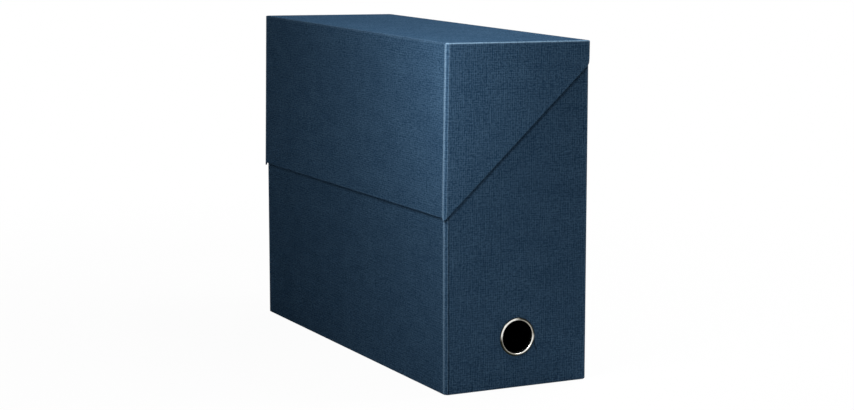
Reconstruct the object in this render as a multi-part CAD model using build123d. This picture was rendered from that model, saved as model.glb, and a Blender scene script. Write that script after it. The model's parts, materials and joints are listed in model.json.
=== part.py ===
from build123d import *
import os
from math import asin, cos, degrees, sin

# A transfer box of covered board. The body is a tray with three tall walls and a low front wall.
# The lid turns on a cloth hinge at the back. Its flap comes down over the front wall and its
# two slanted cheeks come down over the narrow ends. The lid is a square shell as wide as the
# body, so at rest it leans open by about a degree, with its flap against the front wall.
# Millimetres. +Z is up, the origin is the middle of the box on the surface it stands on.
# The spine with the finger hole faces -Y, the flap faces -X and the hinge is on the +X side.

# Overall size, with the lid at rest
overall_width = 120.0
overall_length = 340.0
overall_height = 255.0

# Sheet materials
body_board = 1.9
lid_board = 0.8
cover_paper = 0.15
lining_paper = 0.10
stay_tape = 0.20
bottom_paper = 0.15

# Lid, measured from the hinge line while the lid is square to the body
lid_rise = 15.0
flap_drop = 110.2
cheek_tip_drop = 2.0

# Gaps between the lid and the body
flap_clearance = 0.20
cheek_clearance = 0.30
hinge_groove = 2.0

# How far the low front wall stands up behind the flap
front_wall_overlap = 13.0

# Rounded edges of the covering
corner_radius = 3.0
top_edge_radius = 1.0
bottom_edge_radius = 0.8

# Paper turned over the edges, and the margin of it that the lining leaves bare
turn_in = 15.0
lining_margin = 4.0
bottom_sheet_margin = 3.0

# Stays of the upright corners
stay_leg = 25.0
stay_foot_gap = 3.0

# Hinge strips, measured from the hinge line
hinge_strip_on_body = 20.0
hinge_strip_on_lid = 12.0
hinge_fold_gap = 0.20

# Finger-hole eyelet
eyelet_height = 38.0
eyelet_bore_radius = 12.2
eyelet_flange_radius = 14.25
eyelet_metal = 0.45
eyelet_hole_clearance = 0.10
washer_radius = 15.8
washer_metal = 0.40

# Build-up of the walls, from the outer face inwards
cover_depth = stay_tape + cover_paper
lining_depth = cover_paper + lining_paper
lid_wall = cover_depth + lid_board + lining_depth
body_wall = cover_depth + body_board + lining_depth

# The lid leans open until its flap clears the top edge of the front wall
front_wall_drop = flap_drop - front_wall_overlap
lean = asin((lid_wall + flap_clearance) / front_wall_drop)

# How far the leaning lid's rounded back edge stands out behind the hinge line
round_rise = lid_rise - top_edge_radius
back_overhang = round_rise * sin(lean) + top_edge_radius * (1 - cos(lean))
body_width = (overall_width - back_overhang - flap_drop * sin(lean)) / cos(lean)

# How far the leaning lid's rounded front edge stands up over the hinge line
round_run = body_width - top_edge_radius
lid_peak = round_run * sin(lean) + round_rise * cos(lean) + top_edge_radius

# Faces and levels that follow from the sizes above
back_x = overall_width / 2 - back_overhang
body_front_x = back_x - body_width
lid_end_y = overall_length / 2
body_end_y = lid_end_y - lid_wall - cheek_clearance
hinge_z = overall_height - lid_peak
lid_top_z = hinge_z + lid_rise
flap_edge_z = hinge_z - flap_drop
front_wall_z = hinge_z - front_wall_drop
body_back_z = hinge_z - hinge_groove / 2
strip_edge_z = hinge_z + hinge_groove / 2
hinge_axis = Axis((back_x, 0, hinge_z), (0, 1, 0))

# The cheeks' lower edge, and the end walls' top edge, which runs parallel to it
cheek_tip_z = flap_edge_z - cheek_tip_drop
cheek_slope = (body_back_z - cheek_tip_z) / body_width
end_wall_slope_x = body_front_x + body_wall
end_wall_shoulder_x = end_wall_slope_x + (body_back_z - front_wall_z) / cheek_slope

# Levels of the floor's layers
cover_foot_z = bottom_paper
board_foot_z = cover_foot_z + cover_depth
floor_z = board_foot_z + body_board

# Centre of the finger hole, on the middle of the spine
eyelet_x = (body_front_x + back_x) / 2

# Longer than the box in every direction, for cutting tools that pass right through it
reach = 2 * (overall_width + overall_length + overall_height)


def block(low, high):
    """A box between two opposite corners."""
    size = [high[i] - low[i] for i in range(3)]
    middle = [(high[i] + low[i]) / 2 for i in range(3)]
    return Pos(*middle) * Box(*size)


def prism(points, inset, half_length):
    """An outline in X and Z, drawn in by a distance and run along Y both ways from the middle."""
    outline = make_face(Polyline(*points, close=True))
    if inset > 0:
        outline = offset(outline, amount=-inset, kind=Kind.INTERSECTION)
    return extrude(Plane.XZ * outline, amount=half_length, both=True)


def body_block(depth):
    """The body as a solid block, drawn in by a depth from the covering's outer face."""
    low = (body_front_x + depth, -body_end_y + depth, cover_foot_z + depth)
    high = (back_x - depth, body_end_y - depth, body_back_z)
    solid = block(low, high)
    solid = fillet(solid.edges().filter_by(Axis.Z), corner_radius - depth)
    return fillet(solid.edges().group_by(Axis.Z)[0], bottom_edge_radius - depth)


def below_mouth(drop):
    """Everything under the body's mouth: the front wall's level, the slant and the hinge's level."""
    points = [
        (-reach, -reach),
        (reach, -reach),
        (reach, body_back_z),
        (end_wall_shoulder_x, body_back_z),
        (end_wall_slope_x, front_wall_z),
        (-reach, front_wall_z),
    ]
    return prism(points, drop, reach)


def body_hollow(depth):
    """The space inside the body's boards, drawn in by a depth and open at the top."""
    wall = cover_depth + body_board + depth
    low = (body_front_x + wall, -body_end_y + wall, floor_z + depth)
    high = (back_x - wall, body_end_y - wall, reach)
    return block(low, high)


def lid_block(depth):
    """The lid as a solid block without its slanted lower edge, drawn in by a depth."""
    low = (body_front_x + depth, -lid_end_y + depth, cheek_tip_z - reach)
    high = (back_x - depth, lid_end_y - depth, lid_top_z - depth)
    solid = block(low, high)
    solid = fillet(solid.edges().filter_by(Axis.Z), corner_radius - depth)
    return fillet(solid.edges().group_by(Axis.Z)[-1], top_edge_radius - depth)


def above_cheek_edge(rise):
    """Everything over the cheeks' slanted lower edge, raised square to the edge."""
    left_z = cheek_tip_z + cheek_slope * (-reach - body_front_x)
    right_z = cheek_tip_z + cheek_slope * (reach - body_front_x)
    points = [(-reach, left_z), (reach, right_z), (reach, 4 * reach), (-reach, 4 * reach)]
    return prism(points, rise, reach)


def lid_hollow(depth):
    """The space inside the lid's boards, drawn in by a depth and open below."""
    wall = cover_depth + lid_board + depth
    back_wall = cover_depth + body_board + depth
    low = (body_front_x + wall, -lid_end_y + wall, -reach)
    high = (back_x - back_wall, lid_end_y - wall, lid_top_z - wall)
    return block(low, high)


def under_flap_and_strip():
    """What is cut away between the cheeks, below the flap and below the back strip."""
    end = lid_end_y - cover_depth - lid_board
    under_flap = block((-reach, -end, -reach), (0, end, flap_edge_z))
    under_strip = block((0, -end, -reach), (reach, end, strip_edge_z))
    return under_flap + under_strip


def finger_hole(radius):
    """A round cut through the spine wall."""
    centre = Pos(eyelet_x, -body_end_y, eyelet_height)
    return centre * Rot(90, 0, 0) * Cylinder(radius, 4 * body_wall)


def body_boards():
    """The floor and the four walls of the body."""
    whole = body_block(cover_depth)
    core = whole & below_mouth(cover_depth)
    wall = cover_depth + body_board
    front_face = body_front_x + wall
    back_face = back_x - wall
    end_face = body_end_y - wall
    floor = block((-reach, -reach, -reach), (reach, reach, floor_z))
    in_front = block((-reach, -reach, floor_z), (front_face, reach, reach))
    behind = block((back_face, -reach, floor_z), (reach, reach, reach))
    spine = block((front_face, -reach, floor_z), (back_face, -end_face, reach))
    far_end = block((front_face, end_face, floor_z), (back_face, reach, reach))
    hole = finger_hole(eyelet_bore_radius + eyelet_metal + eyelet_hole_clearance)
    return {
        "bottom_board": core & floor,
        "front_board": core & in_front,
        "back_board": whole & behind,
        "spine_board": (core & spine) - hole,
        "far_end_board": core & far_end,
    }


def lid_boards():
    """The top, the slanted cheeks under its ends, and the flap and the back strip between them."""
    core = lid_block(cover_depth) & above_cheek_edge(cover_depth)
    top_face = lid_top_z - cover_depth - lid_board
    end_face = lid_end_y - cover_depth - lid_board
    under_top = core & block((-reach, -reach, -reach), (reach, reach, top_face))
    bands = under_top - lid_hollow(0)
    before = block((-reach, -end_face, flap_edge_z + cover_depth), (0, end_face, reach))
    behind = block((0, -end_face, strip_edge_z), (reach, end_face, reach))
    return {
        "lid_top_board": core - under_top,
        "lid_flap_board": bands & before,
        "lid_back_strip": bands & behind,
        "lid_spine_cheek": under_top & block((-reach, -reach, -reach), (reach, -end_face, reach)),
        "lid_far_cheek": under_top & block((-reach, end_face, -reach), (reach, reach, reach)),
    }


def hinge_strips():
    """The outer hinge cloth and the inner hinge strip, each in two halves that meet at the fold.

    The inner strip lies on the walls' inner faces and is tucked into the groove between them,
    where it lies on the outer cloth.
    """
    cloth_face = back_x - cover_depth
    board_face = cloth_face - body_board
    outer_end = body_end_y - corner_radius
    inner_end = body_end_y - body_wall

    def strip(from_x, to_x, from_z, to_z, end):
        low = (from_x, -end, min(from_z, to_z))
        high = (to_x, end, max(from_z, to_z))
        return block(low, high)

    def halves(side, edge_z, far_z):
        fold_z = hinge_z + side * hinge_fold_gap / 2
        lip_z = edge_z - side * lining_depth
        on_wall = strip(board_face - lining_depth, board_face, far_z, lip_z, inner_end)
        over_edge = strip(board_face - lining_depth, cloth_face, edge_z, lip_z, inner_end)
        on_cloth = strip(cloth_face - lining_depth, cloth_face, edge_z, fold_z, inner_end)
        outer = strip(cloth_face, back_x - cover_paper, far_z, fold_z, outer_end)
        return outer, on_wall + over_edge + on_cloth

    on_body = halves(-1, body_back_z, hinge_z - hinge_strip_on_body)
    on_lid = halves(1, strip_edge_z, hinge_z + hinge_strip_on_lid)
    return {
        "hinge_cloth_body_half": on_body[0],
        "inner_hinge_body_half": on_body[1],
        "hinge_cloth_lid_half": on_lid[0],
        "inner_hinge_lid_half": on_lid[1],
    }


def corner_region(corner_x, corner_y, foot_z):
    """The space within a stay's legs of an upright corner, from its foot up."""
    low = (corner_x - stay_leg, corner_y - stay_leg, foot_z)
    high = (corner_x + stay_leg, corner_y + stay_leg, reach)
    return block(low, high)


def body_stays(hinge):
    """Gummed tape folded round the four upright corners of the body's boards."""
    layer = body_block(cover_paper) - body_block(cover_depth)
    layer = layer & below_mouth(cover_depth)
    layer = layer - hinge["hinge_cloth_body_half"]
    below_hinge = block((-reach, -reach, -reach), (reach, reach, hinge_z - hinge_strip_on_body))
    foot_z = board_foot_z + stay_foot_gap
    stays = {}
    for end, side in (("spine", -1), ("far", 1)):
        front = corner_region(body_front_x, side * body_end_y, foot_z)
        back = corner_region(back_x, side * body_end_y, foot_z)
        stays["corner_tape_front_" + end] = layer & front
        stays["corner_tape_back_" + end] = layer & back & below_hinge
    return stays


def lid_stays():
    """Gummed tape folded round the two upright corners between the flap and the cheeks."""
    layer = lid_block(cover_paper) - lid_block(cover_depth)
    layer = layer & above_cheek_edge(cover_depth)
    under_top = block((-reach, -reach, -reach), (reach, reach, lid_top_z - top_edge_radius))
    foot_z = flap_edge_z + stay_foot_gap
    stays = {}
    for end, side in (("spine", -1), ("far", 1)):
        corner = corner_region(body_front_x, side * lid_end_y, foot_z)
        stays["lid_corner_tape_" + end] = layer & corner & under_top
    return stays


def body_turn_in():
    """The covering turned over the mouth's edges, down the inside of the front and end walls."""
    layer = body_hollow(0) - body_hollow(cover_paper)
    band = below_mouth(0) - below_mouth(turn_in)
    back_face = back_x - cover_depth - body_board
    in_front_of_back = block((-reach, -reach, floor_z), (back_face - lining_depth, reach, reach))
    return layer & band & in_front_of_back


def lid_turn_in():
    """The covering turned over the lid's lower edges, up the inside of the flap and the cheeks."""
    layer = lid_hollow(0) - lid_hollow(cover_paper)
    end_face = lid_end_y - cover_depth - lid_board - cover_paper
    band = above_cheek_edge(0) - above_cheek_edge(turn_in)
    between = block((-reach, -end_face, -reach), (reach, end_face, reach))
    flap_band = block((-reach, -end_face, flap_edge_z), (0, end_face, flap_edge_z + turn_in))
    back_face = back_x - cover_depth - body_board
    before_hinge = block((-reach, -reach, -reach), (back_face - lining_depth, reach, reach))
    cheeks = (layer & band & before_hinge) - between
    return cheeks + (layer & flap_band)


def body_cover(pieces, turned):
    """The covering of the body's walls, turned under the bottom and in over the mouth."""
    shell = body_block(0) & below_mouth(0)
    shell = shell - body_hollow(0)
    open_bottom = block(
        (body_front_x + turn_in, -body_end_y + turn_in, -reach),
        (back_x - turn_in, body_end_y - turn_in, floor_z),
    )
    shell = shell - open_bottom
    for piece in pieces:
        shell = shell - piece
    hole = finger_hole(eyelet_bore_radius + eyelet_metal + eyelet_hole_clearance)
    return (shell - hole) + turned


def lid_cover(pieces, turned):
    """The covering of the lid's top, flap, cheeks and back strip."""
    shell = lid_block(0) & above_cheek_edge(0)
    shell = shell - lid_hollow(0)
    shell = shell - under_flap_and_strip()
    for piece in pieces:
        shell = shell - piece
    return shell + turned


def bottom_sheet(cover):
    """Paper pasted under the floor, over the turned-under edge of the covering."""
    margin = bottom_sheet_margin
    low = (body_front_x + margin, -body_end_y + margin, 0)
    high = (back_x - margin, body_end_y - margin, board_foot_z)
    return block(low, high) - cover


def body_linings(turned, hinge):
    """Lining paper on the inside of the walls, and a sheet of it on the floor."""
    walls = body_hollow(0) - body_hollow(lining_depth)
    walls = walls & below_mouth(lining_margin)
    floor = block(
        (body_front_x + body_wall, -body_end_y + body_wall, floor_z),
        (back_x - body_wall, body_end_y - body_wall, floor_z + lining_depth),
    )
    back_face = back_x - cover_depth - body_board
    strip = block(
        (back_face - lining_depth, -reach, hinge_z - hinge_strip_on_body),
        (back_face, reach, reach),
    )
    walls = walls - floor - strip - turned - hinge["inner_hinge_body_half"]
    hole = finger_hole(eyelet_bore_radius + eyelet_metal + eyelet_hole_clearance)
    return {"body_lining": walls - hole, "floor_lining": floor}


def lid_lining(turned, hinge):
    """Lining paper inside the lid."""
    layer = lid_hollow(0) - lid_hollow(lining_depth)
    layer = layer & above_cheek_edge(lining_margin)
    layer = layer - block((-reach, -reach, -reach), (0, reach, flap_edge_z + lining_margin))
    end = lid_end_y - lid_wall
    layer = layer - block((0, -end, -reach), (reach, end, strip_edge_z))
    return layer - turned - hinge["inner_hinge_lid_half"]


def eyelet():
    """The finger-hole eyelet: a rolled flange outside, a straight barrel and a clinch inside."""
    face = 0.0
    inner_face = body_wall + washer_metal
    bore = eyelet_bore_radius
    edge = eyelet_flange_radius
    middle = (bore + edge) / 2
    roll = (edge - bore) / 2
    hollow_roll = roll - eyelet_metal
    outside = [
        Line((bore, face), (bore, inner_face)),
        ThreePointArc((bore, inner_face), (middle, inner_face + roll), (edge, inner_face)),
        Line((edge, inner_face), (edge - eyelet_metal, inner_face)),
        ThreePointArc(
            (edge - eyelet_metal, inner_face),
            (middle, inner_face + hollow_roll),
            (bore + eyelet_metal, inner_face),
        ),
        Line((bore + eyelet_metal, inner_face), (bore + eyelet_metal, face)),
        ThreePointArc(
            (bore + eyelet_metal, face), (middle, -hollow_roll), (edge - eyelet_metal, face)
        ),
        Line((edge - eyelet_metal, face), (edge, face)),
        ThreePointArc((edge, face), (middle, -roll), (bore, face)),
    ]
    section = make_face(Curve() + outside)
    ring = revolve(section, axis=Axis.Y)
    return Pos(eyelet_x, -body_end_y, eyelet_height) * ring


def eyelet_washer():
    """The flat washer that the eyelet is clinched over, inside the spine wall."""
    hole = eyelet_bore_radius + eyelet_metal + eyelet_hole_clearance
    ring = Cylinder(washer_radius, washer_metal) - Cylinder(hole, washer_metal)
    place = Pos(eyelet_x, -body_end_y + body_wall + washer_metal / 2, eyelet_height)
    return place * Rot(90, 0, 0) * ring


def body_pieces(hinge):
    """Every piece that stands still, by name."""
    pieces = body_boards()
    pieces.update(body_stays(hinge))
    turned = body_turn_in()
    cover = body_cover([*pieces.values(), hinge["hinge_cloth_body_half"]], turned)
    pieces["body_cover"] = cover
    pieces["bottom_sheet"] = bottom_sheet(cover)
    pieces.update(body_linings(turned, hinge))
    pieces["eyelet"] = eyelet()
    pieces["eyelet_washer"] = eyelet_washer()
    for name in ("hinge_cloth_body_half", "inner_hinge_body_half"):
        pieces[name] = hinge[name]
    return pieces


def lid_pieces(hinge):
    """Every piece that turns with the lid, by name, leaning open as at rest."""
    pieces = lid_boards()
    pieces.update(lid_stays())
    turned = lid_turn_in()
    pieces["lid_cover"] = lid_cover([*pieces.values(), hinge["hinge_cloth_lid_half"]], turned)
    pieces["lid_lining"] = lid_lining(turned, hinge)
    for name in ("hinge_cloth_lid_half", "inner_hinge_lid_half"):
        pieces[name] = hinge[name]
    return {name: piece.rotate(hinge_axis, degrees(lean)) for name, piece in pieces.items()}


strips = hinge_strips()
os.makedirs("parts", exist_ok=True)
for name, piece in {**body_pieces(strips), **lid_pieces(strips)}.items():
    export_step(piece, "parts/" + name + ".step")
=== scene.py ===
"""Looks of the archive box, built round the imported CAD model. Metres, +Z up."""
import bpy
import bmesh
import json
import math
from mathutils import Matrix, Vector


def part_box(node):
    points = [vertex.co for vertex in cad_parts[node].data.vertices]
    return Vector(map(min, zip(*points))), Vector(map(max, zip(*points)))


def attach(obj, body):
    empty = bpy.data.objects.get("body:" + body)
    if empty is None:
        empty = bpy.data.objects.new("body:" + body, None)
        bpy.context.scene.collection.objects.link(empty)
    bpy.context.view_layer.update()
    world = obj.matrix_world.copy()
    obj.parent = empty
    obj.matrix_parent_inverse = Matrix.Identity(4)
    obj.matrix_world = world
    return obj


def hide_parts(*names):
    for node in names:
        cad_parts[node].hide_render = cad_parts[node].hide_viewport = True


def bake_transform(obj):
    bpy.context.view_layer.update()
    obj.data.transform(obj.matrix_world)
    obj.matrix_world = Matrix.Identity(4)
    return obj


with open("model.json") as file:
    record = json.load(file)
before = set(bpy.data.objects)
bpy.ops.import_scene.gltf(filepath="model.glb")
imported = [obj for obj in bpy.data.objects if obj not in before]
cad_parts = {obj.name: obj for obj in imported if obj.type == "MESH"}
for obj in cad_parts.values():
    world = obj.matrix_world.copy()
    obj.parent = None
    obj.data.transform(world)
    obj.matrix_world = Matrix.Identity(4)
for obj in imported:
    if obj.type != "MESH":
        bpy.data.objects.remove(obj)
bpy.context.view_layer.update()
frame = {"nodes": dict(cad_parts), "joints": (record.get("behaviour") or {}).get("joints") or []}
MM = 0.001

# Sheet materials and sizes, as in the part's source
COVER_DEPTH = 0.35 * MM
LINING_DEPTH = 0.25 * MM
PAPER = 0.15 * MM
BODY_BOARD = 1.9 * MM
LID_BOARD = 0.8 * MM
TURN_IN = 15.0 * MM
LID_RISE = 15.0 * MM
FLAP_DROP = 110.2 * MM
FRONT_WALL_DROP = 97.2 * MM
CHEEK_TIP_DROP = 2.0 * MM
HINGE_GROOVE = 2.0 * MM
STRIP_ON_BODY = 20.0 * MM
STRIP_ON_LID = 12.0 * MM
FLAP_CLEARANCE = 0.20 * MM
CHEEK_CLEARANCE = 0.30 * MM
CORNER_RADIUS = 3.0 * MM

# Finger hole and its eyelet, as in the part's source
HOLE_HEIGHT = 38.0 * MM
BORE_RADIUS = 12.2 * MM
FLANGE_RADIUS = 14.25 * MM
EYELET_METAL = 0.45 * MM
EYELET_GAP = 0.10 * MM
WASHER_METAL = 0.40 * MM

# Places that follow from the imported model
HINGE_X, _, HINGE_Z = frame["joints"][0]["pos_m"]
body_low, body_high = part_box("body_cover")
FRONT_X = body_low.x
BACK_X = body_high.x
BODY_END = body_high.y
FOOT_Z = body_low.z
LID_END = BODY_END + COVER_DEPTH + LID_BOARD + LINING_DEPTH + CHEEK_CLEARANCE
LEAN = math.asin((COVER_DEPTH + LID_BOARD + LINING_DEPTH + FLAP_CLEARANCE) / FRONT_WALL_DROP)
BODY_WALL = COVER_DEPTH + BODY_BOARD + PAPER
LID_WALL = COVER_DEPTH + LID_BOARD + PAPER
BODY_BACK_Z = HINGE_Z - HINGE_GROOVE / 2
STRIP_EDGE_Z = HINGE_Z + HINGE_GROOVE / 2
FRONT_WALL_Z = HINGE_Z - FRONT_WALL_DROP
FLAP_EDGE_Z = HINGE_Z - FLAP_DROP
LID_TOP_Z = HINGE_Z + LID_RISE
CHEEK_TIP_Z = FLAP_EDGE_Z - CHEEK_TIP_DROP
CHEEK_SLOPE = (BODY_BACK_Z - CHEEK_TIP_Z) / (BACK_X - FRONT_X)
SLOPE_START_X = FRONT_X + COVER_DEPTH + BODY_BOARD + LINING_DEPTH
SHOULDER_X = SLOPE_START_X + (BODY_BACK_Z - FRONT_WALL_Z) / CHEEK_SLOPE
HOLE_X = (FRONT_X + BACK_X) / 2

# The lid as it leans at rest
to_hinge = Matrix.Translation((HINGE_X, 0, HINGE_Z))
LEANING = to_hinge @ Matrix.Rotation(LEAN, 4, "Y") @ to_hinge.inverted()

# Upright folded corners: two crests with a shallow trough between them, and the trough's arc
CORNER_RUN = 2.9 * MM
CREST_RUN = 2.05 * MM
TROUGH = 0.97 * MM
CREST_RADIUS = 0.7 * MM
TROUGH_RADIUS = 2.0 * MM
CREST_SPREAD = 0.5 * MM
TROUGH_ARC = 1

# The steps of an arc, and the points of a rounded corner: its arc's and one off each end of it
ARC_STEPS = 4
ARC_POINTS = ARC_STEPS + 3

# How near the ends of an arc count as being to its middle, which is 1
ARC_END_NEARNESS = 0.75

# Edges of the covering paper
MOUTH_RADIUS = 0.7 * MM
FOOT_RADIUS = 0.8 * MM
LIP_RADIUS = 0.5 * MM
FLAP_FOLD_RADIUS = 1.5 * MM
CHEEK_TOP_RADIUS = 0.8 * MM
BACK_TOP_RADIUS = 1.0 * MM
EDGE_SPREAD = 0.35 * MM
LIP_SPREAD = 0.10 * MM
TOP_BORDER = 3.4 * MM

# Beside the hinge the paper laps over the board's edge: how far down its inner face it goes, and
# how far past the edge, so that no board shows in the groove
CORNER_LAP = 2.5 * MM
LAP_LIFT = 0.17 * MM

# How far apart the points along a straight wall are
WALL_PITCH = 12.0 * MM

# Half the square of the spine's paper that the finger hole is cut in, and the hole's steps
HOLE_PATCH = 18.0 * MM
HOLE_STEPS = 96

# The eyelet's steps round its axis and round each roll of its edge
RING_STEPS = 128
ROLL_STEPS = 20

# The hinge strips: the outer one's thickness and the gap between it and the covering paper over
# it, the inner one's thickness, and the steps along each
CLOTH = 0.18 * MM
CLOTH_GAP = 0.01 * MM
INNER_STRIP = LINING_DEPTH * 0.96
STRIP_STEPS = 40

# The hinge strips bend between these levels
FOLD_MARGIN = 0.32 * MM
FOLD_START_Z = BODY_BACK_Z + FOLD_MARGIN
FOLD_END_Z = STRIP_EDGE_Z - FOLD_MARGIN
FOLD_STEPS = 8

# Points nearer than this are one point: where shapes are worked out, and where a mesh is cleaned
TOUCH = 0.0001 * MM
JOIN_REACH = 2e-6
FLAT_REACH = 1e-6

# How much the larger faces pull on the normals of the rounds beside them
NORMAL_WEIGHT = 80

# Says that a section's measure starts from its first point
NO_ARC = -1

# The mesh layers: measures along the paper in millimetres, and how pale its edges are, partly
# rubbed and partly painted highlight
WEAVE_LAYER = "weave"
RUB_AND_HIGHLIGHT_LAYER = "rub"

# The lid's measures start this far on, in millimetres, so that its weave isn't the body's
LID_WEAVE_SHIFT = 400

# How pale each edge is, partly rubbed and partly painted highlight, before the weave and the height
# take some of that away, and how far the pale edge goes along a wall from a corner
RUB_HIGHLIGHT_CREST = 1.0
RUB_HIGHLIGHT_BESIDE_CREST = 0.85
RUB_HIGHLIGHT_SIDE_CREST = 0.27
RUB_HIGHLIGHT_BACK_CREST = 0.15
RUB_HIGHLIGHT_CHEEK_TOP = 1.3
RUB_HIGHLIGHT_FLAP_FOLD = 0.12
RUB_HIGHLIGHT_BACK_TOP = 0.15
RUB_HIGHLIGHT_LIP = 0.1
RUB_HIGHLIGHT_MOUTH = 0.4
RUB_HIGHLIGHT_FOOT = 0.2
RUB_HIGHLIGHT_REACH = 1.6 * MM


def rounded(points, radii, spreads):
    """A plane polyline with arcs at its inner corners.

    Each point comes with how near it is to the middle of an arc, from 0 to 1, and the arc's number.
    A further point stands off each end of an arc by its spread.
    """
    line = [(Vector(points[0]), 0.0, None)]
    for i in range(1, len(points) - 1):
        corner = Vector(points[i])
        back = (Vector(points[i - 1]) - corner).normalized()
        on = (Vector(points[i + 1]) - corner).normalized()
        half = back.angle(on) / 2
        radius = radii[i - 1]
        spread = spreads[i - 1]
        reach = radius / math.tan(half)
        centre = corner + (back + on).normalized() * radius / math.sin(half)
        spoke = corner + back * reach - centre
        side = 1 if back.x * on.y - back.y * on.x < 0 else -1
        line.append((corner + back * (reach + spread), 0.0, None))
        for k in range(ARC_STEPS + 1):
            turned = Matrix.Rotation(side * (math.pi - 2 * half) * k / ARC_STEPS, 2) @ spoke
            on_arc = math.sin(math.pi * k / ARC_STEPS)
            nearness = ARC_END_NEARNESS + (1 - ARC_END_NEARNESS) * on_arc
            line.append((centre + turned, nearness, i - 1))
        line.append((corner + on * (reach + spread), 0.0, None))
    line.append((Vector(points[-1]), 0.0, None))
    return line


class Station:
    """One place on the outline of the walls, seen from above."""

    def __init__(self, place, side, rub=0.0):
        self.x, self.y = place
        self.side = side
        self.rub = rub
        self.run = 0.0


def folded_corner(corner, into, out, sides, switch):
    """The stations round an upright corner. The walls change sides at the numbered point."""
    run = [(CORNER_RUN, 0), (CREST_RUN, 0), (TROUGH, TROUGH), (0, CREST_RUN), (0, CORNER_RUN)]
    fold = rounded(run, [CREST_RADIUS, TROUGH_RADIUS, CREST_RADIUS], [CREST_SPREAD] * 3)
    stations = []
    # How pale each crest is: partly rubbed, partly painted highlight
    weights = {"front": RUB_HIGHLIGHT_CREST, "back": RUB_HIGHLIGHT_BACK_CREST}
    last = len(fold) - 1
    for k, (point, nearness, arc) in enumerate(fold):
        place = corner - into * point.x + out * point.y
        side = sides[k > len(fold) / 2]
        rub = 0.0 if arc == TROUGH_ARC else nearness * weights.get(side, RUB_HIGHLIGHT_SIDE_CREST)
        if k in (0, 1, last - 1, last) and side == "front":
            rub = RUB_HIGHLIGHT_BESIDE_CREST
        stations.append(Station(place, sides[0] if k < switch else sides[1], rub))
    return stations


def outline(low_x, high_x, end, stops_x):
    """The stations round the walls, counter-clockwise seen from above, and the whole length."""
    first_crest = 2
    after_trough = 2 + 2 * ARC_POINTS
    before_trough = 1 + ARC_POINTS
    after_crests = 3 * ARC_POINTS
    right, up = Vector((1, 0)), Vector((0, 1))
    corners = [
        (Vector((low_x, -end)), -up, right, ("front", "spine"), first_crest),
        (Vector((high_x, -end)), right, up, ("spine", "back"), after_trough),
        (Vector((high_x, end)), up, -right, ("back", "far"), before_trough),
        (Vector((low_x, end)), -right, -up, ("far", "front"), after_crests),
    ]
    stations = []
    for i, (corner, into, out, sides, switch) in enumerate(corners):
        stations += folded_corner(corner, into, out, sides, switch)
        start = corner + out * CORNER_RUN
        stop = corners[(i + 1) % len(corners)][0] - out * CORNER_RUN
        count = round((stop - start).length / WALL_PITCH)
        marks = [start + (stop - start) * n / count for n in range(1, count)]
        marks += [start + out * RUB_HIGHLIGHT_REACH, stop - out * RUB_HIGHLIGHT_REACH]
        if sides[1] in ("spine", "far"):
            marks += [Vector((x, start.y)) for x in stops_x]
        marks.sort(key=lambda place: (place - start).length)
        stations += [Station(place, sides[1]) for place in marks]
    run = 0.0
    for last, this in zip(stations, stations[1:]):
        run += math.hypot(this.x - last.x, this.y - last.y)
        this.run = run
    gap = math.hypot(stations[0].x - stations[-1].x, stations[0].y - stations[-1].y)
    return stations, run + gap


class Row:
    """One point of a wall's upright section at one station.

    Its full depths are those of the rectangle that it is drawn in towards, from the long walls
    and from the ends, or None on the outer face.
    """

    def __init__(self, depth, full_depths, z, measure, rub):
        self.depth = depth
        self.full_depths = full_depths
        self.z = z
        self.measure = measure
        self.rub = rub


class Walls:
    """A sheet of covering paper folded round the walls of a box."""

    def __init__(self, low_x, high_x, end, stops_x, shift):
        self.low_x = low_x
        self.high_x = high_x
        self.end = end
        self.shift = shift
        self.stations, self.total = outline(low_x, high_x, end, stops_x)
        self.points = []
        self.rubs_and_highlights = []
        self.faces = []
        self.measures = []

    def place(self, station, row):
        """Where a row is at a station: the outline drawn towards a rectangle at the full depths."""
        if row.full_depths is None:
            return station.x, station.y, row.z
        full, end_full = row.full_depths
        in_x = min(max(station.x, self.low_x + full), self.high_x - full)
        in_y = min(max(station.y, -self.end + end_full), self.end - end_full)
        share = row.depth / full
        x = station.x + (in_x - station.x) * share
        y = station.y + (in_y - station.y) * share
        return x, y, row.z

    def grow(self, section, from_top):
        """Adds the faces between the stations' sections, which share their top or bottom rows.

        Gives each station's run along the outline, its rows and their point numbers.
        """
        columns = []
        for station in self.stations:
            rows = section(station)
            names = []
            for row in rows:
                self.points.append(self.place(station, row))
                on_face = row.full_depths is None
                self.rubs_and_highlights.append(max(row.rub, station.rub) if on_face else row.rub)
                names.append(len(self.points) - 1)
            columns.append((station.run, rows, names))
        for i, (run, rows, names) in enumerate(columns):
            next_run, next_rows, next_names = columns[(i + 1) % len(columns)]
            if i + 1 == len(columns):
                next_run = self.total
            shared = min(len(names), len(next_names))
            skip = 0 if from_top else len(names) - shared
            next_skip = 0 if from_top else len(next_names) - shared
            for k in range(shared - 1):
                a, b = k + skip, k + next_skip
                self.faces.append((names[a], names[a + 1], next_names[b + 1], next_names[b]))
                self.measures += [
                    (run, rows[a].measure), (run, rows[a + 1].measure),
                    (next_run, next_rows[b + 1].measure), (next_run, next_rows[b].measure),
                ]
        return columns

    def cap(self, names):
        """Closes the top inside the first row of every station."""
        self.faces.append(tuple(names))
        self.measures += [self.points[n][:2] for n in names]

    def make(self, name):
        """The sheet as a mesh object."""
        mesh = bpy.data.meshes.new(name)
        mesh.from_pydata(self.points, [], self.faces)
        lay_weave(mesh, self.measures, self.shift)
        rub = mesh.attributes.new(RUB_AND_HIGHLIGHT_LAYER, "FLOAT", "POINT")
        rub.data.foreach_set("value", self.rubs_and_highlights)
        merge(mesh)
        return link(name, mesh)


def lay_weave(mesh, measures, shift=0):
    """Keeps the measures of each face's corners, in millimetres, as the weave layer."""
    weave = mesh.uv_layers.new(name=WEAVE_LAYER)
    for loop, (across, along) in zip(weave.data, measures):
        loop.uv = (across / MM + shift, along / MM + shift)


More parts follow.
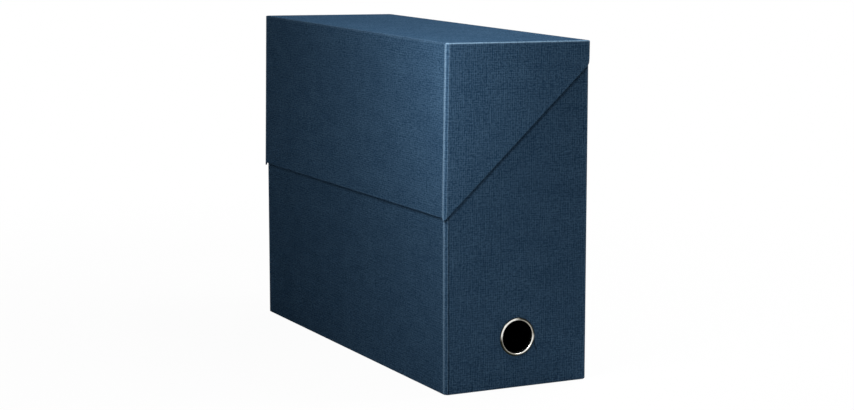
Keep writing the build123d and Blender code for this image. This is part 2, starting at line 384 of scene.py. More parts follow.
def section_rows(points, radii, rubs_and_highlights, full_depths, anchor, spreads=(EDGE_SPREAD,) * 3):
    """The rows of a section through (depth, z) corner points.

    Each arc has the full depths of the rows from it on. The measure along the paper equals z on
    the outer face, after the arc with the anchor's number.
    """
    line = rounded(points, radii, spreads)
    lengths = [0.0]
    for (a, _, _), (b, _, _) in zip(line, line[1:]):
        lengths.append(lengths[-1] + (b - a).length)
    arc_rows = [k for k, (_, _, arc) in enumerate(line) if arc == anchor]
    base = arc_rows[-1] if arc_rows else 0
    rows = []
    passed = 0
    for k, (point, nearness, arc) in enumerate(line):
        if arc is not None:
            passed = arc
        measure = line[base][0].y - (lengths[k] - lengths[base])
        rub = nearness * rubs_and_highlights[arc] if arc is not None else 0.0
        full = full_depths[passed] if point.x > TOUCH else None
        rows.append(Row(point.x, full, point.y, measure, rub))
    return rows


def merge(mesh):
    """Joins points that lie in one place and drops the faces that this leaves without area."""
    sheet = bmesh.new()
    sheet.from_mesh(mesh)
    bmesh.ops.remove_doubles(sheet, verts=sheet.verts, dist=JOIN_REACH)
    bmesh.ops.dissolve_degenerate(sheet, edges=sheet.edges, dist=FLAT_REACH)
    sheet.to_mesh(mesh)
    sheet.free()


def link(name, data):
    """An object in the scene that holds a mesh, a lamp or a camera."""
    thing = bpy.data.objects.new(name, data)
    bpy.context.scene.collection.objects.link(thing)
    return thing


def settle(piece):
    """Applies a piece's modifiers, with smooth rounds beside flat faces."""
    for polygon in piece.data.polygons:
        polygon.use_smooth = True
    weigh = piece.modifiers.new("normals", "WEIGHTED_NORMAL")
    weigh.weight = NORMAL_WEIGHT
    bpy.context.view_layer.update()
    graph = bpy.context.evaluated_depsgraph_get()
    settled = bpy.data.meshes.new_from_object(piece.evaluated_get(graph))
    piece.modifiers.clear()
    piece.data = settled


def thicken(piece, thickness):
    """Gives a sheet its thickness on the inner side."""
    solid = piece.modifiers.new("thickness", "SOLIDIFY")
    solid.thickness = thickness
    solid.offset = -1


def mouth_z(x):
    """The level of the body's mouth over a place on its end walls."""
    if x <= SLOPE_START_X:
        return FRONT_WALL_Z
    return min(FRONT_WALL_Z + (x - SLOPE_START_X) * CHEEK_SLOPE, BODY_BACK_Z)


def turned_in(slanted):
    """How far up or down a wall the turn-in reaches: it is as wide across a slanted edge."""
    return TURN_IN * (math.hypot(1, CHEEK_SLOPE) if slanted else 1)


def body_section(station):
    """The covering over the body's mouth, down the outside and under the bottom.

    Along the hinge it starts at the back board's edge. Beside the hinge it laps over the board.
    """
    wall = (BODY_WALL, BODY_WALL)
    foot = (TURN_IN, TURN_IN)
    at_back = station.side == "back"
    if at_back and abs(station.y) < BODY_END - CORNER_RUN - TOUCH:
        points = [(0, BODY_BACK_Z), (0, FOOT_Z), (TURN_IN, FOOT_Z)]
        return section_rows(points, [FOOT_RADIUS], [RUB_HIGHLIGHT_FOOT], [foot], NO_ARC)
    top = mouth_z(station.x)
    turned = CORNER_LAP if at_back else turned_in(SLOPE_START_X < station.x < SHOULDER_X)
    if station.x > BACK_X - BODY_WALL:
        top += LAP_LIFT
    points = [
        (BODY_WALL, top - turned), (BODY_WALL, top), (0, top), (0, FOOT_Z), (TURN_IN, FOOT_Z),
    ]
    radii = [MOUTH_RADIUS, MOUTH_RADIUS, FOOT_RADIUS]
    rubs_and_highlights = [RUB_HIGHLIGHT_MOUTH, RUB_HIGHLIGHT_MOUTH, RUB_HIGHLIGHT_FOOT]
    return section_rows(points, radii, rubs_and_highlights, [wall, wall, foot], 1)


def lid_edge_z(station):
    """The level of the lid's lower edge at a station."""
    if station.side == "front":
        return FLAP_EDGE_Z
    return CHEEK_TIP_Z + (station.x - FRONT_X) * CHEEK_SLOPE


def lid_section(station):
    """The covering from the top over its edge, down the outside and in over the lower edge.

    Along the hinge it ends at the back strip's edge. Beside the hinge it laps over the strip.
    """
    top_edges = {
        "front": (FLAP_FOLD_RADIUS, RUB_HIGHLIGHT_FLAP_FOLD),
        "back": (BACK_TOP_RADIUS, RUB_HIGHLIGHT_BACK_TOP),
    }
    radius, rub = top_edges.get(station.side, (CHEEK_TOP_RADIUS, RUB_HIGHLIGHT_CHEEK_TOP))
    top = [(TOP_BORDER, LID_TOP_Z), (0, LID_TOP_Z)]
    border = (TOP_BORDER, TOP_BORDER)
    at_back = station.side == "back"
    if at_back and abs(station.y) < LID_END - CORNER_RUN - RUB_HIGHLIGHT_REACH - TOUCH:
        return section_rows(top + [(0, STRIP_EDGE_Z)], [radius], [rub], [border], 0)
    highest = LID_TOP_Z - LID_WALL
    if at_back:
        edge, wall, inner_z = STRIP_EDGE_Z - LAP_LIFT, BODY_WALL, highest
    else:
        edge, wall = lid_edge_z(station), LID_WALL
        inner_z = min(edge + turned_in(station.side != "front"), highest)
    points = top + [(0, edge), (wall, edge), (wall, inner_z)]
    radii = [radius, LIP_RADIUS, LIP_RADIUS]
    rubs_and_highlights = [rub, RUB_HIGHLIGHT_LIP, RUB_HIGHLIGHT_LIP]
    depths = [border, (wall, LID_WALL), (wall, LID_WALL)]
    return section_rows(points, radii, rubs_and_highlights, depths, 0, [EDGE_SPREAD, LIP_SPREAD, LIP_SPREAD])


def in_plane(face, plane_y):
    """Says whether a face lies in an upright plane across Y."""
    return all(abs(vertex.co.y - plane_y) < TOUCH for vertex in face.verts)


def patch(wall, centre, plane_y):
    """The faces of an upright wall inside a square about a centre, cut along its sides."""
    for place, normal in [
        ((centre.x - HOLE_PATCH, 0, 0), (1, 0, 0)),
        ((centre.x + HOLE_PATCH, 0, 0), (1, 0, 0)),
        ((0, 0, centre.z - HOLE_PATCH), (0, 0, 1)),
        ((0, 0, centre.z + HOLE_PATCH), (0, 0, 1)),
    ]:
        flat = [face for face in wall.faces if in_plane(face, plane_y)]
        edges = list(dict.fromkeys(edge for face in flat for edge in face.edges))
        corners = list(dict.fromkeys(vertex for face in flat for vertex in face.verts))
        parts = flat + edges + corners
        bmesh.ops.bisect_plane(wall, geom=parts, plane_co=place, plane_no=normal)

    def inside(face):
        middle = face.calc_center_median()
        return (
            abs(middle.y - plane_y) < TOUCH
            and abs(middle.x - centre.x) < HOLE_PATCH
            and abs(middle.z - centre.z) < HOLE_PATCH
        )

    return [face for face in wall.faces if inside(face)]


def ring_faces(wall, outer, outer_turns, inner, inner_turns):
    """Triangles between two rings of points, both in the order of their turns."""
    faces = []
    i, j = 0, 0
    while i < len(outer) or j < len(inner):
        a, b = outer[i % len(outer)], inner[j % len(inner)]
        if j == len(inner) or (i < len(outer) and outer_turns[i + 1] < inner_turns[j + 1]):
            i += 1
            faces.append(wall.faces.new((a, outer[i % len(outer)], b)))
        else:
            j += 1
            faces.append(wall.faces.new((a, inner[j % len(inner)], b)))
    return faces


def cut_hole(mesh, centre, plane_y, radius):
    """Cuts a round hole in an upright wall that faces -Y, in place of a square of its faces."""
    wall = bmesh.new()
    wall.from_mesh(mesh)
    weave = wall.loops.layers.uv[WEAVE_LAYER]
    square = patch(wall, centre, plane_y)
    first = square[0].loops[0]
    shift = first[weave].uv - first.vert.co.xz / MM
    rim = {v for f in square for v in f.verts if any(n not in square for n in v.link_faces)}
    bmesh.ops.delete(wall, geom=square, context="FACES")

    def turn(vertex):
        return math.atan2(vertex.co.z - centre.z, vertex.co.x - centre.x)

    whole = 2 * math.pi
    outer = sorted(rim, key=turn)
    outer_turns = [turn(vertex) for vertex in outer]
    inner_turns = [-math.pi + whole * (n + 0.5) / HOLE_STEPS for n in range(HOLE_STEPS)]
    inner = [
        wall.verts.new((centre.x + radius * math.cos(t), plane_y, centre.z + radius * math.sin(t)))
        for t in inner_turns
    ]
    outer_turns.append(outer_turns[0] + whole)
    inner_turns.append(inner_turns[0] + whole)
    for face in ring_faces(wall, outer, outer_turns, inner, inner_turns):
        face.normal_update()
        if face.normal.y > 0:
            face.normal_flip()
        for loop in face.loops:
            loop[weave].uv = shift + loop.vert.co.xz / MM
    wall.to_mesh(mesh)
    wall.free()


def body_covering():
    """The linen-embossed paper round the body."""
    walls = Walls(FRONT_X, BACK_X, BODY_END, [SLOPE_START_X, SHOULDER_X], 0)
    walls.grow(body_section, from_top=False)
    piece = walls.make("body_covering")
    hole = Vector((HOLE_X, 0, HOLE_HEIGHT))
    cut_hole(piece.data, hole, -BODY_END, BORE_RADIUS + EYELET_METAL + EYELET_GAP)
    thicken(piece, PAPER)
    settle(piece)
    return piece


def lid_covering():
    """The linen-embossed paper round the lid."""
    walls = Walls(FRONT_X, BACK_X, LID_END, [], LID_WEAVE_SHIFT)
    columns = walls.grow(lid_section, from_top=True)
    walls.cap([names[0] for _, _, names in columns])
    piece = walls.make("lid_covering")
    piece.data.transform(LEANING)
    thicken(piece, PAPER)
    settle(piece)
    return piece


def lean_share(z):
    """How far a point of the hinge has turned with the lid, from 0 on the body to 1 on the lid."""
    t = min(max((z - FOLD_START_Z) / (FOLD_END_Z - FOLD_START_Z), 0), 1)
    return t * t * (3 - 2 * t)


def strip_piece(name, line, thickness, end):
    """A strip that follows a line in X and Z along the hinge, leaning with the lid past the fold.

    Gives the piece and the strip's flat size.
    """
    hinge = Vector((HINGE_X, 0, HINGE_Z))
    along = [-end + 2 * end * n / STRIP_STEPS for n in range(STRIP_STEPS + 1)]
    points = []
    for x, z in line:
        spoke = Vector((x, 0, z)) - hinge
        spoke.rotate(Matrix.Rotation(LEAN * lean_share(z), 3, "Y"))
        place = hinge + spoke
        points += [(place.x, y, place.z) for y in along]
    rows = len(along)
    faces = []
    measures = []
    run = [0.0]
    for (x, z), (next_x, next_z) in zip(line, line[1:]):
        run.append(run[-1] + math.hypot(next_x - x, next_z - z))
    for i in range(len(line) - 1):
        for j in range(rows - 1):
            a = i * rows + j
            faces.append((a, a + 1, a + 1 + rows, a + rows))
            measures += [
                (along[j], run[i]), (along[j + 1], run[i]),
                (along[j + 1], run[i + 1]), (along[j], run[i + 1]),
            ]
    mesh = bpy.data.meshes.new(name)
    mesh.from_pydata(points, [], faces)
    lay_weave(mesh, measures)
    piece = link(name, mesh)
    thicken(piece, thickness)
    settle(piece)
    return piece, (run[-1], 2 * end)


def fold_line(x):
    """The points of a strip across the groove, close enough together to bend."""
    height = FOLD_END_Z - FOLD_START_Z
    return [(x, FOLD_START_Z + height * n / FOLD_STEPS) for n in range(FOLD_STEPS + 1)]


def hinge_cloth():
    """The outer hinge cloth, pasted on the back board and on the lid's back strip."""
    x = BACK_X - PAPER - CLOTH_GAP
    line = [(x, HINGE_Z - STRIP_ON_BODY), (x, BODY_BACK_Z)] + fold_line(x)
    line += [(x, STRIP_EDGE_Z), (x, HINGE_Z + STRIP_ON_LID)]
    return strip_piece("hinge_cloth", line, CLOTH, BODY_END - CORNER_RADIUS)


def inner_hinge():
    """The inner hinge strip, tucked into the groove between the two boards."""
    cloth_x = BACK_X - COVER_DEPTH
    wall_x = cloth_x - BODY_BOARD - LINING_DEPTH
    groove_x = cloth_x - LINING_DEPTH
    low_lip = BODY_BACK_Z + LINING_DEPTH
    high_lip = STRIP_EDGE_Z - LINING_DEPTH
    body_side = [(wall_x, HINGE_Z - STRIP_ON_BODY), (wall_x, low_lip), (groove_x, low_lip)]
    lid_side = [(groove_x, high_lip), (wall_x, high_lip), (wall_x, HINGE_Z + STRIP_ON_LID)]
    line = body_side + fold_line(groove_x) + lid_side
    end = BODY_END - BODY_WALL - LINING_DEPTH + PAPER
    return strip_piece("inner_hinge", line, INNER_STRIP, end)


def lathed(name, section, steps, centre):
    """A ring turned about an axis along Y from a closed section of (radius, depth) points."""
    points = []
    faces = []
    count = len(section)
    for i in range(steps):
        angle = 2 * math.pi * i / steps
        for radius, depth in section:
            x = centre.x + radius * math.cos(angle)
            z = centre.z + radius * math.sin(angle)
            points.append((x, centre.y + depth, z))
        for k in range(count):
            n = (k + 1) % count
            after = (i + 1) % steps * count
            faces.append((i * count + k, after + k, after + n, i * count + n))
    mesh = bpy.data.meshes.new(name)
    mesh.from_pydata(points, [], faces)
    piece = link(name, mesh)
    settle(piece)
    return piece


def eyelet_ring():
    """The eyelet: a rolled flange outside, a straight barrel and a clinch over the washer."""
    middle = (BORE_RADIUS + FLANGE_RADIUS) / 2
    roll = (FLANGE_RADIUS - BORE_RADIUS) / 2
    inner = COVER_DEPTH + BODY_BOARD + LINING_DEPTH + WASHER_METAL
    hollow = roll - EYELET_METAL

    def arc(depth, radius, start, turn):
        angles = [start + turn * k / ROLL_STEPS for k in range(ROLL_STEPS + 1)]
        return [(middle + radius * math.cos(a), depth + radius * math.sin(a)) for a in angles]

    outside = arc(0, roll, math.pi, math.pi)
    inside = arc(0, hollow, 2 * math.pi, -math.pi)
    clinch_in = arc(inner, hollow, math.pi, -math.pi)
    clinch_out = arc(inner, roll, 0, math.pi)
    section = outside + inside + clinch_in + clinch_out
    return lathed("eyelet_ring", section, RING_STEPS, Vector((HOLE_X, -BODY_END, HOLE_HEIGHT)))


# Most of what a noise gives lies between the first two, and its middle between the others
NOISE_ENDS = (0.3, 0.7)
NARROW_ENDS = (0.35, 0.65)


def colour(red, green, blue):
    return (red, green, blue, 1.0)


class Graph:
    """A material's nodes, added and joined in one line each. Its measures are in millimetres."""

    def __init__(self, name):
        self.material = bpy.data.materials.new(name)
        self.material.use_nodes = True
        self.nodes = self.material.node_tree.nodes
        self.links = self.material.node_tree.links
        self.shader = self.nodes["Principled BSDF"]

    def feed(self, socket, value):
        """Joins a socket to another one, or sets its value."""
        if isinstance(value, bpy.types.NodeSocket):
            self.links.new(value, socket)
        else:
            socket.default_value = value

    def node(self, kind, *values):
        """A new node with its first sockets fed."""
        node = self.nodes.new("ShaderNode" + kind)
        for socket, value in zip(node.inputs, values):
            self.feed(socket, value)
        return node

    def math(self, operation, *values):
        node = self.node("Math", *values)
        node.operation = operation
        return node.outputs[0]

    def vector(self, operation, *values):
        node = self.node("VectorMath", *values)
        node.operation = operation
        return node.outputs["Value" if operation == "LENGTH" else "Vector"]

    def split(self, vector):
        """A vector's parts along X, Y and Z."""
        return self.node("SeparateXYZ", vector).outputs

    def measure(self):
        """The measures along the paper."""
        node = self.nodes.new("ShaderNodeUVMap")
        node.uv_map = WEAVE_LAYER
        return node.outputs[0]

    def place(self):
        """The place in the piece."""
        node = self.nodes.new("ShaderNodeTexCoord")
        return self.vector("MULTIPLY", node.outputs["Object"], (1 / MM, 1 / MM, 1 / MM))

    def rub_and_highlight_share(self):
        """How near a point is to a pale edge: partly rubbed, partly painted highlight."""
        node = self.nodes.new("ShaderNodeAttribute")
        node.attribute_name = RUB_AND_HIGHLIGHT_LAYER
        return node.outputs["Fac"]

    def noise(self, vector, scale, detail, roughness, stretch=None):
        """Noise with a scale per millimetre, drawn out where the stretch is under 1."""
        if stretch is not None:
            vector = self.vector("MULTIPLY", vector, stretch)
        node = self.nodes.new("ShaderNodeTexNoise")
        self.feed(node.inputs["Vector"], vector)
        node.inputs["Scale"].default_value = scale
        node.inputs["Detail"].default_value = detail
        node.inputs["Roughness"].default_value = roughness
        return node.outputs["Fac"]

    def between(self, value, low, high, to_low=0.0, to_high=1.0):
        """A value drawn from one range to another, and held inside it."""
        node = self.nodes.new("ShaderNodeMapRange")
        self.feed(node.inputs["Value"], value)
        node.inputs["From Min"].default_value = low
        node.inputs["From Max"].default_value = high
        node.inputs["To Min"].default_value = to_low
        node.inputs["To Max"].default_value = to_high
        return node.outputs["Result"]

    def noise_between(self, noise, to_low=0.0, to_high=1.0, ends=NOISE_ENDS):
        """A noise drawn out to a whole range."""
        return self.between(noise, *ends, to_low, to_high)

    def centred(self, noise, weight):
        """A noise about nought, with a weight."""
        return self.math("MULTIPLY", self.math("SUBTRACT", noise, 0.5), weight)

    def mix(self, share, one, other):
        """One colour at a share of 0 and the other at 1."""
        node = self.nodes.new("ShaderNodeMix")
        node.data_type = "RGBA"
        self.feed(node.inputs["Factor"], share)
        self.feed(node.inputs["A"], one)
        self.feed(node.inputs["B"], other)
        return node.outputs["Result"]

    def bump(self, height, strength, distance):
        """Raises the surface by a height. The distance is in metres."""
        node = self.nodes.new("ShaderNodeBump")
        node.inputs["Strength"].default_value = strength
        node.inputs["Distance"].default_value = distance
        self.feed(node.inputs["Height"], height)
        self.links.new(node.outputs["Normal"], self.shader.inputs["Normal"])

    def finish(self, **values):
        """Feeds the shader's own sockets and gives the material."""
        for name, value in values.items():
            self.feed(self.shader.inputs[name.replace("_", " ")], value)
        return self.material


# The lid's and the body's copies of the same linen paper: the body's is darker, painted shade on
# the body's walls
LID_PAINTED_TONE = 1.0
BODY_PAINTED_SHADE = 0.88

# The linen threads embossed in the covering paper, in millimetres, and how far they wander
THREAD_PITCH = 1.55
THREAD_DRIFT = 3.0

# Noises of the threads: how drawn out they are along them, scale, detail and roughness
DRIFT_NOISE = (0.15, 0.25, 1.0, 0.5)
STRENGTH_NOISE = (0.6, 0.28, 2.0, 0.6)
SLUB_NOISE = (0.12, 0.8, 1.0, 0.5)
GRAIN_NOISE = (0.7, 0.9, 1.0, 0.6)

# How much each shows: the faintest and the strongest threads, the slubs and the grain
FAINT_THREAD, STRONG_THREAD = 0.08, 0.70
SLUBS = 0.25
GRAIN = 1.15

# Noises of the whole sheet: scale, detail, roughness and stretch, and how much each shows
SPECKLE_NOISE = (0.75, 1.0, 0.6, (0.42, 1.0, 1.0))
MOTTLE_NOISE = (0.08, 2.0, 0.5, (0.6, 1.0, 1.0))
CLOUD_NOISE = (0.02, 2.0, 0.5)
SPECKLE = 0.55
MOTTLE = 0.045
CLOUD = 0.25

# The shares of the upright and level threads, and the emboss: its strength and its depth
UPRIGHT_SHARE, LEVEL_SHARE = 0.62, 0.38
LINEN_BUMP = (0.5, 0.5 * MM)

# The linen's colours: in its hollows, on its threads, under a cloud, and on its pale edges, partly
# rubbed through and partly painted highlight
LINEN_DARK = (0.0127, 0.036, 0.073)
LINEN_PALE = (0.0495, 0.100, 0.165)
LINEN_CLOUD = (0.020, 0.048, 0.092)
LINEN_RUB_HIGHLIGHT = (0.165, 0.265, 0.375)

# How much of the pale edges, partly rubbed and partly painted highlight, shows in the hollows, and
# how much at the foot, growing to full at this height in millimetres
RUB_HIGHLIGHT_IN_HOLLOWS = 0.55
RUB_HIGHLIGHT_AT_FOOT = 0.62
RUB_HIGHLIGHT_FULL_HEIGHT = 240.0


def threads(g, across, along):
    """Raised threads that run along one measure: an even row of fine ones, with a few thicker."""

    def noise(stretch, scale, detail, roughness):
        drawn_out = g.node("CombineXYZ", across, g.math("MULTIPLY", along, stretch)).outputs[0]
        return g.noise(drawn_out, scale, detail, roughness)

    drift = g.centred(noise(*DRIFT_NOISE), THREAD_DRIFT)
    phase = g.math("MULTIPLY", g.math("ADD", across, drift), 2 * math.pi / THREAD_PITCH)
    row = g.math("MULTIPLY", g.math("SINE", phase), 0.5)
    strength = noise(*STRENGTH_NOISE)
    strength = g.noise_between(strength, FAINT_THREAD, STRONG_THREAD, NARROW_ENDS)
    ridges = g.math("MULTIPLY", row, strength)
    slubs = g.centred(noise(*SLUB_NOISE), SLUBS)
    grain = g.centred(noise(*GRAIN_NOISE), GRAIN)
    return g.math("ADD", g.math("ADD", ridges, grain), g.math("ADD", slubs, 0.5))


def shade(painted_tone, red, green, blue):
    """A colour made darker or lighter by a tone, which on the body is painted shade."""
    return colour(red * painted_tone, green * painted_tone, blue * painted_tone)


def linen_paper(name, painted_tone):
    """Dark blue covering paper embossed like linen, pale along its edges: partly rubbed, partly
    painted highlight.
    """
    g = Graph(name)
    measure = g.measure()
    run, rise, _ = g.split(measure)
    upright = g.math("MULTIPLY", threads(g, run, rise), UPRIGHT_SHARE)
    level = g.math("MULTIPLY", threads(g, rise, run), LEVEL_SHARE)
    speckle = g.centred(g.noise(measure, *SPECKLE_NOISE), SPECKLE)
    weave = g.math("ADD", g.math("ADD", upright, level), speckle)
    mottle = g.noise_between(g.noise(measure, *MOTTLE_NOISE), -MOTTLE, MOTTLE)
    tone = g.noise_between(g.math("ADD", weave, mottle))
    paper = g.mix(tone, shade(painted_tone, *LINEN_DARK), shade(painted_tone, *LINEN_PALE))
    cloud = g.noise_between(g.noise(measure, *CLOUD_NOISE), 0.0, CLOUD)
    paper = g.mix(cloud, paper, shade(painted_tone, *LINEN_CLOUD))
    _, _, height = g.split(g.place())
    # The pale edges: partly rubbed, partly painted highlight, weaker in the hollows of the weave
    # and fading towards the foot
    rub_highlight_height_share = g.between(height, 0.0, RUB_HIGHLIGHT_FULL_HEIGHT, RUB_HIGHLIGHT_AT_FOOT, 1.0)
    rub_highlight = g.math("MULTIPLY", g.rub_and_highlight_share(), g.noise_between(weave, RUB_HIGHLIGHT_IN_HOLLOWS, 1.0))
    rub_highlight = g.math("MULTIPLY", rub_highlight, rub_highlight_height_share)
    paper = g.mix(rub_highlight, paper, colour(*LINEN_RUB_HIGHLIGHT))
    g.bump(weave, *LINEN_BUMP)
    return g.finish(Base_Color=paper, Roughness=0.75, Specular_IOR_Level=0.0)


# Noises of plain paper: scale, detail, roughness and stretch, the share of each, and its grain
FIBRE_NOISE = (3.0, 4.0, 0.6, (1.0, 1.0, 0.4))
BLOTCH_NOISE = (0.12, 3.0, 0.6)
FIBRE_SHARE, BLOTCH_SHARE = 0.6, 0.4
FIBRE_BUMP = (0.3, 0.2 * MM)


def plain_paper(name, base, fibre, roughness):
    """A matt paper or board with short fibres and a faint mottle."""
    g = Graph(name)
    place = g.place()
    fibres = g.noise(place, *FIBRE_NOISE)
    blotches = g.math("MULTIPLY", g.noise(place, *BLOTCH_NOISE), BLOTCH_SHARE)
    share = g.math("ADD", g.math("MULTIPLY", fibres, FIBRE_SHARE), blotches)
    tone = g.mix(g.noise_between(share, ends=NARROW_ENDS), colour(*base), colour(*fibre))
    g.bump(fibres, *FIBRE_BUMP)
    return g.finish(Base_Color=tone, Roughness=roughness, Specular_IOR_Level=0.25)


# Threads of the book cloth, in radians per millimetre, its colours and how much it is raised
CLOTH_THREADS = 12.0
CLOTH_DARK = (0.016, 0.044, 0.085)
CLOTH_PALE = (0.036, 0.078, 0.135)
CLOTH_BUMP = (0.5, 0.2 * MM)


def book_cloth():
    """Dark blue book cloth with a plain weave."""
    g = Graph("book_cloth")
    along, up, _ = g.split(g.measure())
    warp = g.math("SINE", g.math("MULTIPLY", along, CLOTH_THREADS))
    weft = g.math("SINE", g.math("MULTIPLY", up, CLOTH_THREADS))
    weave = g.math("MULTIPLY", warp, weft)
    tone = g.mix(g.between(weave, -1, 1), colour(*CLOTH_DARK), colour(*CLOTH_PALE))
    g.bump(weave, *CLOTH_BUMP)
    return g.finish(Base_Color=tone, Roughness=0.8, Specular_IOR_Level=0.2)


# Noises of the nickel plate: scale, detail, roughness and stretch
HAZE_NOISE = (0.35, 3.0, 0.6)
MARK_NOISE = (2.0, 2.0, 0.5, (0.3, 6.0, 0.3))

# The plate's colours and roughness, each from clear to hazy, and how deep the marks are
NICKEL_CLEAR = (0.34, 0.32, 0.28)
NICKEL_HAZY = (0.42, 0.40, 0.35)
NICKEL_ROUGHNESS = (0.14, 0.26)
MARK_BUMP = (0.08, 0.1 * MM)


def nickel(name):
    """Bright nickel plate with fine turning marks and a faint haze: its tone and roughness."""
    g = Graph(name)
    place = g.place()
    haze = g.noise(place, *HAZE_NOISE)
    tone = g.mix(g.noise_between(haze), colour(*NICKEL_CLEAR), colour(*NICKEL_HAZY))
    g.bump(g.noise(place, *MARK_NOISE), *MARK_BUMP)
    return g, tone, g.noise_between(haze, *NICKEL_ROUGHNESS)


def plain_nickel():
    """The washer's plate."""
    g, tone, rough = nickel("nickel")
    return g.finish(Base_Color=tone, Metallic=1.0, Roughness=rough)


# The eyelet's plate: a painted highlight, and the painted dark reflection on its rim
PAINTED_HIGHLIGHT = (0.86, 0.85, 0.80)
PAINTED_DARK_REFLECTION = (0.022, 0.024, 0.016)

# Where the painted dark reflection lies and the painted highlight gives way: it starts and is whole
# at these radii and levels about the hole's axis, in millimetres, and at these sines of twice the
# turn about it
OUTER_DARK_REFLECTION = (12.8, 13.2)
RIM_DARK_REFLECTION = (13.75, 14.0)
LOW_DARK_REFLECTION = (3.0, -5.0)
TURN_DARK_REFLECTION = (-0.35, 0.35)


def handled_nickel():
    """The eyelet's plate: painted highlight in its upper left and lower right quarters, and painted
    dark reflection on the outer half of the other quarters and of its lower part, and round its
    rim.
    """
    g, tone, rough = nickel("handled_nickel")
    axis = (HOLE_X / MM, 0, HOLE_HEIGHT / MM)
    radial = g.vector("MULTIPLY", g.vector("SUBTRACT", g.place(), axis), (1, 0, 1))
    radius = g.vector("LENGTH", radial)
    right, _, up = g.split(radial)
    turn = g.math("SINE", g.math("MULTIPLY", g.math("ARCTAN2", up, right), 2.0))
    away_from_highlight = g.between(turn, *TURN_DARK_REFLECTION)
    outer_dark_reflection = g.math("MAXIMUM", away_from_highlight, g.between(up, *LOW_DARK_REFLECTION))
    outer_dark_reflection = g.math("MULTIPLY", g.between(radius, *OUTER_DARK_REFLECTION), outer_dark_reflection)
    dark_reflection = g.math("MAXIMUM", g.between(radius, *RIM_DARK_REFLECTION), outer_dark_reflection)
    # Painted highlight and painted dark reflection, placed by the turn and the radius about the
    # hole
    plate = g.mix(dark_reflection, g.mix(away_from_highlight, colour(*PAINTED_HIGHLIGHT), tone), colour(*PAINTED_DARK_REFLECTION))
    return g.finish(Base_Color=plate, Metallic=1.0, Roughness=rough)


def wear(piece, material):
    """Gives a piece one material."""
    piece.data.materials.clear()
    piece.data.materials.append(material)


BOARDS = [
    "bottom_board", "front_board", "back_board", "spine_board", "far_end_board",
    "lid_top_board", "lid_flap_board", "lid_back_strip", "lid_spine_cheek", "lid_far_cheek",
]
STAYS = [
    "corner_tape_front_spine", "corner_tape_front_far", "corner_tape_back_spine",
    "corner_tape_back_far", "lid_corner_tape_spine", "lid_corner_tape_far",
]
LININGS = ["body_lining", "floor_lining", "lid_lining"]

# Carried-over CAD nodes of board and plain paper: name, nodes, two colours and roughness
PLAIN_PAPERS = [
    ("greyboard", BOARDS, (0.36, 0.34, 0.30), (0.48, 0.46, 0.42), 0.9),
    ("stay_tape", STAYS, (0.48, 0.38, 0.24), (0.60, 0.50, 0.34), 0.7),
    ("lining_paper", LININGS, (0.036, 0.070, 0.115), (0.052, 0.094, 0.148), 0.75),
    ("bottom_paper", ["bottom_sheet"], (0.024, 0.056, 0.100), (0.036, 0.078, 0.132), 0.7),
]

# The body's copy of the linen paper is made darker: painted shade
lid_linen = linen_paper("lid_linen", LID_PAINTED_TONE)
body_linen = linen_paper("body_linen", BODY_PAINTED_SHADE)
cloth = book_cloth()
for name, nodes, base, fibre, roughness in PLAIN_PAPERS:
    plain = plain_paper(name, base, fibre, roughness)
    for node in nodes:
        wear(frame["nodes"][node], plain)
wear(frame["nodes"]["eyelet_washer"], plain_nickel())

pieces = [
    (body_covering(), body_linen, "body", "linen_paper", ["body_cover"]),
    (lid_covering(), lid_linen, "lid", "linen_paper", ["lid_cover"]),
    (eyelet_ring(), handled_nickel(), "body", "nickel", ["eyelet"]),
]
for piece, material, body, slot, nodes in pieces:
    wear(piece, material)
    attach(piece, body)
    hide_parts(*nodes)

strips = [
    (hinge_cloth(), ["hinge_cloth_body_half", "hinge_cloth_lid_half"]),
    (inner_hinge(), ["inner_hinge_body_half", "inner_hinge_lid_half"]),
]
for (strip, flat), nodes in strips:
    wear(strip, cloth)
    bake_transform(strip)
    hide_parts(*nodes)

# Camera, from the box's corners in the photograph
IMAGE_WIDTH = 854
SENSOR = 36.0
FOCAL_PIXELS = 2088.6
CAMERA_PLACE = (-0.72355, -1.47866, 0.36764)
CAMERA_DIP = 8.819
CAMERA_TURN = -26.408
camera_data = bpy.data.cameras.new("camera")
camera_data.sensor_width = SENSOR
camera_data.lens = FOCAL_PIXELS * SENSOR / IMAGE_WIDTH
camera_data.clip_start = 0.05
camera_data.clip_end = 20
camera = link("camera", camera_data)
camera.location = CAMERA_PLACE
camera.rotation_euler = (math.radians(90 - CAMERA_DIP), 0, math.radians(CAMERA_TURN))
bpy.context.scene.camera = camera

# Square lamps that face one point of the box: name, place, side in metres and power in watts
LAMPS = [
    ("key", (-0.24, -0.20, 0.46), 0.08, 0.62),
    ("corner", (-0.22, -0.30, 0.30), 0.06, 0.58),
    ("corner_side", (-0.20, -0.28, 0.20), 0.05, 0.045),
    ("top", (0.45, 0.0, 0.9), 0.5, 3.4),
    ("top_front", (0.35, -0.12, 0.80), 0.4, 4.0),
    ("back", (1.0, 0.9, 0.35), 0.8, 9.0),
]
LIT_POINT = Vector((0, -0.05, 0.15))
for name, place, side, power in LAMPS:
    lamp_data = bpy.data.lights.new(name, "AREA")
    lamp_data.size = side
    lamp_data.energy = power
    lamp = link(name, lamp_data)
    lamp.location = place
    lamp.rotation_euler = (LIT_POINT - Vector(place)).to_track_quat("-Z", "Y").to_euler()

WHITE = colour(1, 1, 1)

# The strength of the even light on the object
EVEN_LIGHT = 0.03

# The floor's half side, its paint, and how white it looks under the box and from the far radius on
FLOOR_HALF = 40.0
FLOOR_PAINT = colour(0.8, 0.8, 0.8)
FLOOR_ROUGHNESS = 0.9
NEAR_RADIUS, FAR_RADIUS = 0.25, 0.9
NEAR_WHITE, FAR_WHITE = 0.96, 1.0


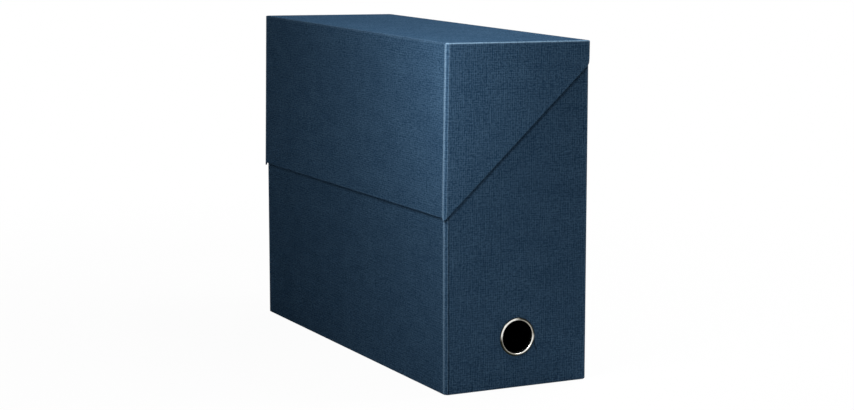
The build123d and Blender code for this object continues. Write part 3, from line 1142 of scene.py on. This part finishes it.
def seen_directly(tree):
    """1 for camera, glossy and transmission rays, and 0 for the light that falls on things."""
    path = tree.nodes.new("ShaderNodeLightPath")
    total = path.outputs["Is Camera Ray"]
    for name in ("Is Glossy Ray", "Is Transmission Ray"):
        larger = tree.nodes.new("ShaderNodeMath")
        larger.operation = "MAXIMUM"
        tree.links.new(total, larger.inputs[0])
        tree.links.new(path.outputs[name], larger.inputs[1])
        total = larger.outputs[0]
    return total


def mix_surface(tree, share, one, other, output):
    """Feeds an output node's surface with two shaders, the other one by a share."""
    mix = tree.nodes.new("ShaderNodeMixShader")
    for socket, source in zip(mix.inputs, (share, one.outputs[0], other.outputs[0])):
        tree.links.new(source, socket)
    tree.links.new(mix.outputs[0], tree.nodes[output].inputs["Surface"])


def white_world():
    """White where it is seen, and a low even light on the object."""
    world = bpy.data.worlds.new("studio")
    bpy.context.scene.world = world
    world.use_nodes = True
    tree = world.node_tree
    base = tree.nodes["Background"]
    seen = tree.nodes.new("ShaderNodeBackground")
    for background, strength in ((base, EVEN_LIGHT), (seen, 1.0)):
        background.inputs["Color"].default_value = WHITE
        background.inputs["Strength"].default_value = strength
    mix_surface(tree, seen_directly(tree), base, seen, "World Output")


def white_floor():
    """A pale floor that looks white and keeps a soft shadow."""
    mesh = bpy.data.meshes.new("floor")
    corners = [(-1, -1), (1, -1), (1, 1), (-1, 1)]
    points = [(x * FLOOR_HALF, y * FLOOR_HALF, 0) for x, y in corners]
    mesh.from_pydata(points, [], [(0, 1, 2, 3)])
    floor = link("floor", mesh)
    material = bpy.data.materials.new("floor")
    material.use_nodes = True
    tree = material.node_tree
    paint = tree.nodes["Principled BSDF"]
    paint.inputs["Base Color"].default_value = FLOOR_PAINT
    paint.inputs["Roughness"].default_value = FLOOR_ROUGHNESS
    glow = tree.nodes.new("ShaderNodeEmission")
    glow.inputs["Color"].default_value = WHITE
    glow.inputs["Strength"].default_value = 1.0
    place = tree.nodes.new("ShaderNodeTexCoord")
    away = tree.nodes.new("ShaderNodeVectorMath")
    away.operation = "LENGTH"
    tree.links.new(place.outputs["Object"], away.inputs[0])
    rise = tree.nodes.new("ShaderNodeMapRange")
    rise.interpolation_type = "SMOOTHSTEP"
    rise.inputs["From Min"].default_value = NEAR_RADIUS
    rise.inputs["From Max"].default_value = FAR_RADIUS
    rise.inputs["To Min"].default_value = NEAR_WHITE
    rise.inputs["To Max"].default_value = FAR_WHITE
    tree.links.new(away.outputs["Value"], rise.inputs["Value"])
    share = tree.nodes.new("ShaderNodeMath")
    share.operation = "MULTIPLY"
    tree.links.new(seen_directly(tree), share.inputs[0])
    tree.links.new(rise.outputs["Result"], share.inputs[1])
    mix_surface(tree, share.outputs[0], paint, glow, "Material Output")
    mesh.materials.append(material)


white_world()
white_floor()
bpy.context.scene.view_settings.view_transform = "Standard"
